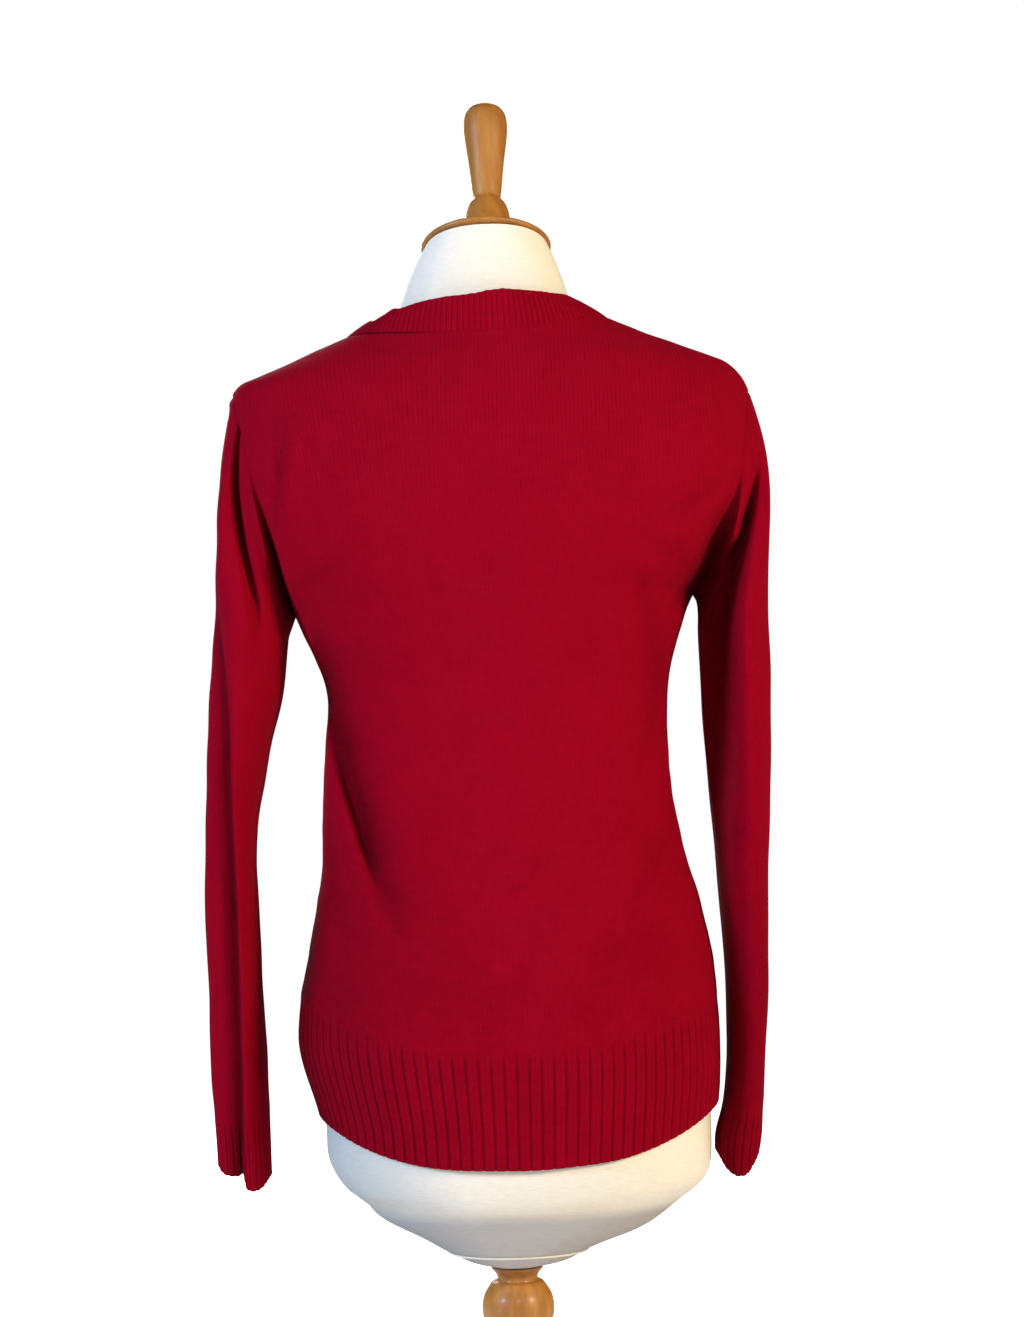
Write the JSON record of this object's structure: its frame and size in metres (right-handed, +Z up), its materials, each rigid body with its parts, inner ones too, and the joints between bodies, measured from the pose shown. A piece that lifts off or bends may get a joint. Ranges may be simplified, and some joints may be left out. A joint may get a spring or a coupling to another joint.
{
  "type": "knitted pullover on dress form",
  "caption": "Plain red fine-knit long-sleeved pullover with ribbed neck, cuffs and hem, worn by a limbless dress form on a short turned wooden stand.",
  "frame": {"origin": "centre of the underside of the stand's round base, where the part rests", "axes": "+Z up along the form's axis, -Y to the garment's front, +X to the wearer's left"},
  "size_m": [0.4179, 0.29, 1.1009],
  "materials": {
    "red_knit": "fine crimson stockinette knit, matt with a slight fuzz; ribbed at neck, cuffs and hem",
    "cream_jersey": "matt cream cotton jersey stretched over the form",
    "varnished_wood": "honey-coloured turned wood under satin varnish"
  },
  "bodies": {
    "root": {"back_panel": "red_knit", "front_panel": "red_knit", "sleeve_left": "red_knit", "sleeve_right": "red_knit", "cuff_left": "red_knit", "cuff_right": "red_knit", "neck_band": "red_knit", "hem_rib_back": "red_knit", "hem_rib_front": "red_knit", "form_torso": "cream_jersey", "neck_cap": "varnished_wood", "neck_finial": "varnished_wood", "stand_column": "varnished_wood", "stand_base": "varnished_wood"}
  },
  "joints": []
}
